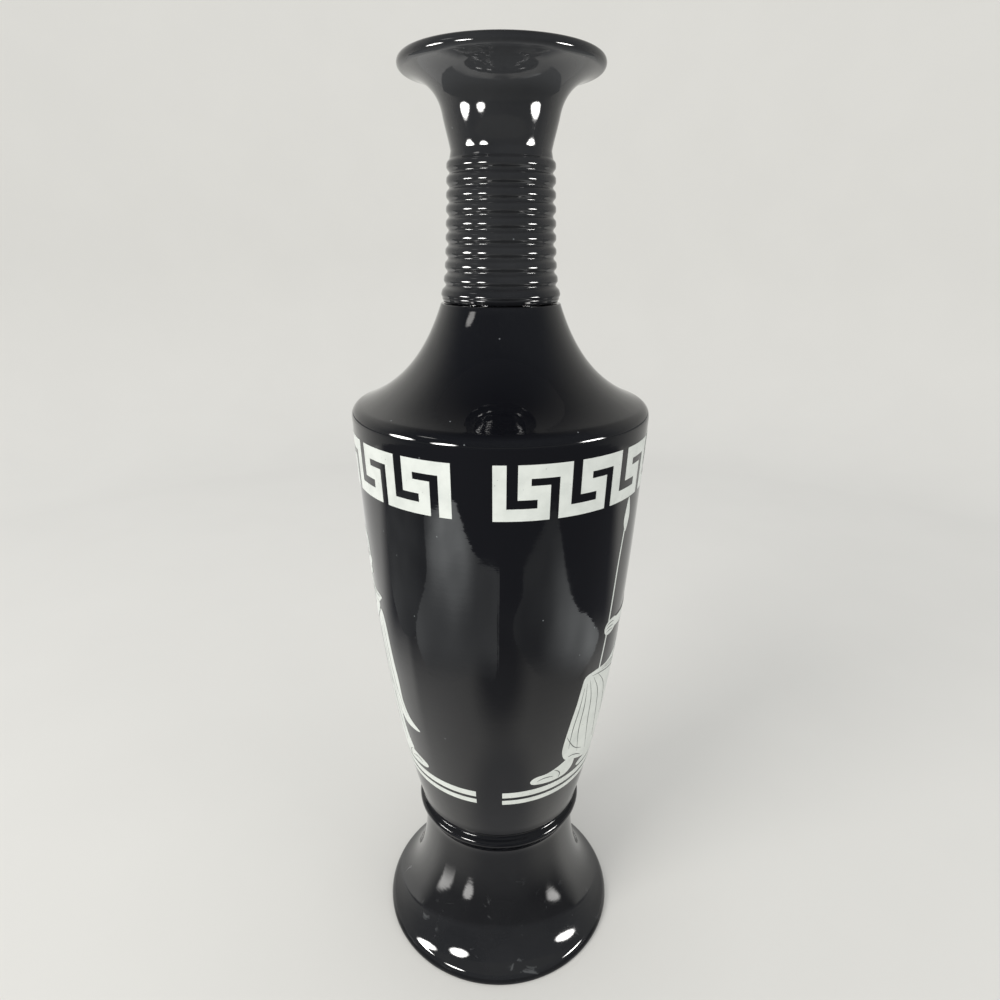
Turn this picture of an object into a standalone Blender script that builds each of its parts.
"""Ceramic decanter: a footed vase with a sharp shoulder, a ribbed neck and a trumpet mouth.

The vase is formed in three turned sections that seat in each other: a hollow pedestal foot, the
body and the neck. A tapered cork closes the throat and lifts straight out. Sizes are in
millimetres, heights are measured from the table, and the axis of the vase is Z. A pull is how far
a curve follows its end direction, as (radius, height) or as a length along that direction.
"""
import math

import bmesh
import bpy
from mathutils import Vector
from mathutils.geometry import interpolate_bezier

MM = 0.001
FACETS = 36
SHARP_ANGLE = 40.0
SEAT_GAP = 0.3

# Overall
TOTAL_HEIGHT = 306.0
WALL = 4.0

# Pedestal foot
FOOT_RADIUS = 45.3
FOOT_WALL = 4.5
REST_EDGE_ROUND = 0.6
REST_RING_WIDTH = 4.0
HOLLOW_EDGE_HEIGHT = 1.5
TOE_ROUND = 4.0
TOE_TILT = 55.0
WAIST_RADIUS = 29.2
WAIST_HEIGHT = 46.0
FLARE_WAIST_PULL = 24.0
FLARE_TOE_PULL = 10.0
BEAD_RADIUS = 31.5
BEAD_HEIGHT = 52.4
BEAD_TOP_PULL = 2.0
BEAD_UNDER_PULL = 1.8
WAIST_TOP_PULL = 4.6
GROOVE_RADIUS = 29.4
GROOVE_HEIGHT = 55.2
GROOVE_PULL = 1.6
FOOT_SEAT_HEIGHT = 56.2
FOOT_SOCKET_RADIUS = 22.3
FOOT_SOCKET_DEPTH = 4.4

# Body
BODY_BASE_RADIUS = 30.9
BODY_BASE_HEIGHT = 58.2
BODY_BASE_ROUND = 1.4
BOSS_HEIGHT = 3.5
FLOOR_HEIGHT = 60.0
FLOOR_RADIUS = 21.5
FLOOR_PULL = 4.0
FLOOR_CORNER_TOP = 67.0
FLOOR_CORNER_PULL = (0.6, 4.0)
BELLY_TILT = -2.6
BELLY_TOP_PULL = 55.0
BELLY_BASE_PULL = (11.6, 46.4)
SHOULDER_RADIUS = 47.8
SHOULDER_HEIGHT = 206.8
SHOULDER_ROUND = 4.05
SHOULDER_TILT = 69.0
SHOULDER_PULL = 16.0
COLLAR_RADIUS = 18.7
COLLAR_HEIGHT = 240.6
COLLAR_ROUND = 0.5
COLLAR_PULL = (4.55, 13.0)
NECK_SOCKET_RADIUS = 14.4
NECK_SOCKET_DEPTH = 7.1
SOCKET_SLOPE_HEIGHT = 2.0

# Neck
RIB_COUNT = 10
RIB_PITCH = 3.89
RIB_DEPTH = 0.85
RIB_STEPS = 6
TOP_RIB_HEIGHT = 278.9
TOP_RIB_RADIUS = 16.0
NECK_TAPER = 0.033
NECK_BASE_FLARE = 1.1
NECK_BASE_FLARE_LENGTH = 4.35
NECK_BASE_RADIUS = 17.6
UPPER_GROOVE = (14.75, 282.6)
UPPER_GROOVE_PULL = (0.15, 1.8)
UPPER_NECK = (16.9, 292.0)
UPPER_NECK_PULL = (0.7, 3.6)
TRUMPET_NECK_PULL = (0.8, 4.0)
TRUMPET_LIP_PULL = (7.4, 1.6)
LIP_RADIUS = 29.2
LIP_ROUND = 1.8
LIP_UNDERSIDE = -82.0
MOUTH_LIP_PULL = (8.5, 0.6)
MOUTH_THROAT_PULL = (0.6, 6.5)
THROAT_RADIUS = 12.6
THROAT_HEIGHT = 292.5
THROAT_TAPER_START = 268.0
BORE_RADIUS = 11.0
SPIGOT_LENGTH = 6.4

# Cork
CORK_BASE_HEIGHT = 271.0
CORK_TOP_HEIGHT = 299.0
CORK_CHAMFER = 0.8


def point(radius, height):
    """A profile point: X is the radius and Z the height."""
    return Vector((radius, 0.0, height))


def polar(centre, radius, angle):
    """The point at an angle from the horizontal on a circle of the profile plane."""
    turn = math.radians(angle)
    return centre + radius * point(math.cos(turn), math.sin(turn))


def direction(angle):
    """A unit step at an angle from the horizontal."""
    return polar(point(0.0, 0.0), 1.0, angle)


def arc(centre, radius, start, end, count):
    """Points along a circular arc, from one angle to another."""
    return [polar(centre, radius, start + (end - start) * i / (count - 1)) for i in range(count)]


def curve(start, start_handle, end_handle, end, count):
    """Points along one Bezier stretch of the profile."""
    return interpolate_bezier(start, start_handle, end_handle, end, count)


def inset(points, thickness):
    """The same stretch moved inward by a wall thickness. The points run down the outer side."""
    moved = []
    for i, here in enumerate(points):
        before = points[max(i - 1, 0)]
        after = points[min(i + 1, len(points) - 1)]
        along = (after - before).normalized()
        moved.append(here + thickness * point(along.z, -along.x))
    return moved


def finish(name, colour, roughness):
    """A plain finish for one kind of surface."""
    material = bpy.data.materials.new(name)
    material.use_nodes = True
    shader = material.node_tree.nodes["Principled BSDF"]
    shader.inputs["Base Color"].default_value = (*colour, 1.0)
    shader.inputs["Roughness"].default_value = roughness
    shader.inputs["Metallic"].default_value = 0.0
    return material


def turned(name, profile, closed, seat_height, material, parent):
    """Spin a profile round Z into one solid whose origin is on the axis at its seat height."""
    form = bmesh.new()
    corners = [form.verts.new((spot - point(0.0, seat_height)) * MM) for spot in profile]
    edges = [form.edges.new(pair) for pair in zip(corners, corners[1:])]
    if closed:
        edges.append(form.edges.new((corners[-1], corners[0])))
    bmesh.ops.spin(form, geom=corners + edges, cent=(0.0, 0.0, 0.0), axis=(0.0, 0.0, 1.0),
                   angle=2.0 * math.pi, steps=FACETS, use_merge=True)
    bmesh.ops.remove_doubles(form, verts=form.verts, dist=0.000001)
    bmesh.ops.recalc_face_normals(form, faces=form.faces)
    mesh = bpy.data.meshes.new(name)
    form.to_mesh(mesh)
    form.free()
    mesh.shade_smooth()
    mesh.set_sharp_from_angle(angle=math.radians(SHARP_ANGLE))
    mesh.materials.append(material)
    piece = bpy.data.objects.new(name, mesh)
    piece.location.z = seat_height * MM
    piece.parent = parent
    bpy.context.collection.objects.link(piece)


def foot_profile():
    """Seat, bead, waist, trumpet flare, rounded toe, resting ring, then up the hollow."""
    toe_centre = point(FOOT_RADIUS - TOE_ROUND, REST_EDGE_ROUND)
    toe_start = polar(toe_centre, TOE_ROUND, TOE_TILT)
    groove = point(GROOVE_RADIUS, GROOVE_HEIGHT)
    crest = point(BEAD_RADIUS, BEAD_HEIGHT)
    waist = point(WAIST_RADIUS, WAIST_HEIGHT)
    over_bead = curve(groove, groove - point(0.0, GROOVE_PULL),
                      crest + point(0.0, BEAD_TOP_PULL), crest, 7)
    under_bead = curve(crest, crest - point(0.0, BEAD_UNDER_PULL),
                       waist + point(0.0, WAIST_TOP_PULL), waist, 6)
    flare = curve(waist, waist - point(0.0, FLARE_WAIST_PULL),
                  toe_start + FLARE_TOE_PULL * direction(TOE_TILT + 90.0), toe_start, 10)
    toe = arc(toe_centre, TOE_ROUND, TOE_TILT, 0.0, 5)
    rest_radius = FOOT_RADIUS - REST_EDGE_ROUND
    rest_edge = arc(point(rest_radius, REST_EDGE_ROUND), REST_EDGE_ROUND, 0.0, -90.0, 3)
    hollow = [spot for spot in inset(flare, FOOT_WALL) if spot.z > HOLLOW_EDGE_HEIGHT]
    socket_floor = FOOT_SEAT_HEIGHT - FOOT_SOCKET_DEPTH
    return ([point(GROOVE_RADIUS, FOOT_SEAT_HEIGHT)] + over_bead + under_bead[1:] + flare[1:]
            + toe[1:] + rest_edge[1:] + [point(rest_radius - REST_RING_WIDTH, 0.0)] + hollow[::-1]
            + [point(FOOT_SOCKET_RADIUS, socket_floor), point(FOOT_SOCKET_RADIUS, FOOT_SEAT_HEIGHT)])


def shoulder_edge_centre():
    """Centre of the rounded edge where the shoulder turns down into the belly."""
    return point(SHOULDER_RADIUS - SHOULDER_ROUND, SHOULDER_HEIGHT)


def shoulder_curve(count):
    """The concave shoulder, from the collar under the neck down to the rounded shoulder edge."""
    edge_start = polar(shoulder_edge_centre(), SHOULDER_ROUND, SHOULDER_TILT)
    collar = point(COLLAR_RADIUS, COLLAR_HEIGHT - COLLAR_ROUND)
    out, down = COLLAR_PULL
    return curve(collar, collar + point(out, -down),
                 edge_start + SHOULDER_PULL * direction(SHOULDER_TILT + 90.0), edge_start, count)


def belly_curve(count):
    """The belly, from under the shoulder edge down to the base."""
    top = polar(shoulder_edge_centre(), SHOULDER_ROUND, BELLY_TILT)
    base = point(BODY_BASE_RADIUS, BODY_BASE_HEIGHT)
    return curve(top, top + BELLY_TOP_PULL * direction(BELLY_TILT - 90.0),
                 base + point(*BELLY_BASE_PULL), base, count)


def body_profile():
    """Up the hollow from the floor, over the collar, then down the outside to the boss."""
    base_seat = FOOT_SEAT_HEIGHT + SEAT_GAP
    boss_radius = FOOT_SOCKET_RADIUS - SEAT_GAP
    boss_base = base_seat - BOSS_HEIGHT
    socket_floor = COLLAR_HEIGHT - NECK_SOCKET_DEPTH
    inner_belly = [spot for spot in inset(belly_curve(11), WALL) if spot.z > FLOOR_CORNER_TOP]
    inner_shoulder = [spot for spot in inset(shoulder_curve(9), WALL)
                      if spot.z < socket_floor - SOCKET_SLOPE_HEIGHT]
    wall_base = inner_belly[-1]
    floor_edge = point(FLOOR_RADIUS, FLOOR_HEIGHT)
    corner = curve(floor_edge, floor_edge + point(FLOOR_PULL, 0.0),
                   wall_base - point(*FLOOR_CORNER_PULL), wall_base, 4)
    socket = [point(NECK_SOCKET_RADIUS, socket_floor), point(NECK_SOCKET_RADIUS, COLLAR_HEIGHT)]
    collar = arc(point(COLLAR_RADIUS - COLLAR_ROUND, COLLAR_HEIGHT - COLLAR_ROUND), COLLAR_ROUND,
                 90.0, 0.0, 3)
    edge = arc(shoulder_edge_centre(), SHOULDER_ROUND, SHOULDER_TILT, BELLY_TILT, 7)
    base_edge = arc(point(BODY_BASE_RADIUS - BODY_BASE_ROUND, base_seat + BODY_BASE_ROUND),
                    BODY_BASE_ROUND, 0.0, -90.0, 4)
    boss = [point(boss_radius, base_seat), point(boss_radius, boss_base), point(0.0, boss_base)]
    return ([point(0.0, FLOOR_HEIGHT)] + corner + inner_belly[-2:0:-1] + inner_shoulder[::-1] + socket
            + collar + shoulder_curve(11)[1:] + edge[1:] + belly_curve(13)[1:] + base_edge + boss)


def rib_radius(height):
    """Outer radius of the ribbed stretch: a taper, a flare at its base and rounded ribs."""
    drop = TOP_RIB_HEIGHT - height
    base_crest = TOP_RIB_HEIGHT - (RIB_COUNT - 1) * RIB_PITCH
    flare = NECK_BASE_FLARE * math.exp((base_crest - height) / NECK_BASE_FLARE_LENGTH)
    groove = RIB_DEPTH * 0.5 * (1.0 - math.cos(2.0 * math.pi * drop / RIB_PITCH))
    return TOP_RIB_RADIUS + NECK_TAPER * drop + flare - groove


def neck_profile():
    """Inside of the mouth up to the lip, then down the trumpet and the ribs to the spigot."""
    seat = COLLAR_HEIGHT + SEAT_GAP
    spigot_radius = NECK_SOCKET_RADIUS - SEAT_GAP
    spigot_base = seat - SPIGOT_LENGTH
    lip_centre = point(LIP_RADIUS - LIP_ROUND, TOTAL_HEIGHT - LIP_ROUND)
    lip_top = polar(lip_centre, LIP_ROUND, 90.0)
    lip_under = polar(lip_centre, LIP_ROUND, LIP_UNDERSIDE)
    throat = point(THROAT_RADIUS, THROAT_HEIGHT)
    upper = point(*UPPER_NECK)
    groove = point(*UPPER_GROOVE)
    mouth = curve(throat, throat + point(*MOUTH_THROAT_PULL), lip_top - point(*MOUTH_LIP_PULL),
                  lip_top, 8)
    lip = arc(lip_centre, LIP_ROUND, 90.0, LIP_UNDERSIDE, 8)
    trumpet = curve(lip_under, lip_under - point(*TRUMPET_LIP_PULL),
                    upper + point(*TRUMPET_NECK_PULL), upper, 9)
    upper_neck = curve(upper, upper - point(*UPPER_NECK_PULL), groove + point(*UPPER_GROOVE_PULL),
                       groove, 6)
    first = TOP_RIB_HEIGHT + 0.5 * RIB_PITCH
    heights = [first - RIB_PITCH * i / RIB_STEPS for i in range(RIB_COUNT * RIB_STEPS + 1)]
    ribs = [point(rib_radius(height), height) for height in heights]
    spigot = [point(NECK_BASE_RADIUS, seat), point(spigot_radius, seat),
              point(spigot_radius, spigot_base), point(BORE_RADIUS, spigot_base)]
    return (mouth + lip[1:] + trumpet[1:] + upper_neck[1:] + ribs + spigot
            + [point(BORE_RADIUS, THROAT_TAPER_START)])


def cork_radius(height):
    """Radius of the cork, which follows the taper of the throat."""
    share = (height - THROAT_TAPER_START) / (THROAT_HEIGHT - THROAT_TAPER_START)
    return BORE_RADIUS + (THROAT_RADIUS - BORE_RADIUS) * share - SEAT_GAP


def cork_profile():
    """A tapered plug with both ends chamfered."""
    base = cork_radius(CORK_BASE_HEIGHT)
    top = cork_radius(CORK_TOP_HEIGHT)
    return [point(0.0, CORK_TOP_HEIGHT), point(top - CORK_CHAMFER, CORK_TOP_HEIGHT),
            point(top, CORK_TOP_HEIGHT - CORK_CHAMFER), point(base, CORK_BASE_HEIGHT + CORK_CHAMFER),
            point(base - CORK_CHAMFER, CORK_BASE_HEIGHT), point(0.0, CORK_BASE_HEIGHT)]


def main():
    for old in list(bpy.data.objects):
        bpy.data.objects.remove(old)
    axis = bpy.data.objects.new("decanter_axis", None)
    bpy.context.collection.objects.link(axis)
    glaze = finish("black_glaze", (0.006, 0.006, 0.010), 0.08)
    cork = finish("natural_cork", (0.48, 0.30, 0.16), 0.85)
    turned("pedestal_foot", foot_profile(), True, 0.0, glaze, axis)
    turned("vase_body", body_profile(), False, FOOT_SEAT_HEIGHT + SEAT_GAP, glaze, axis)
    turned("ribbed_neck", neck_profile(), True, COLLAR_HEIGHT + SEAT_GAP, glaze, axis)
    turned("cork_stopper", cork_profile(), False, CORK_BASE_HEIGHT, cork, axis)


main()
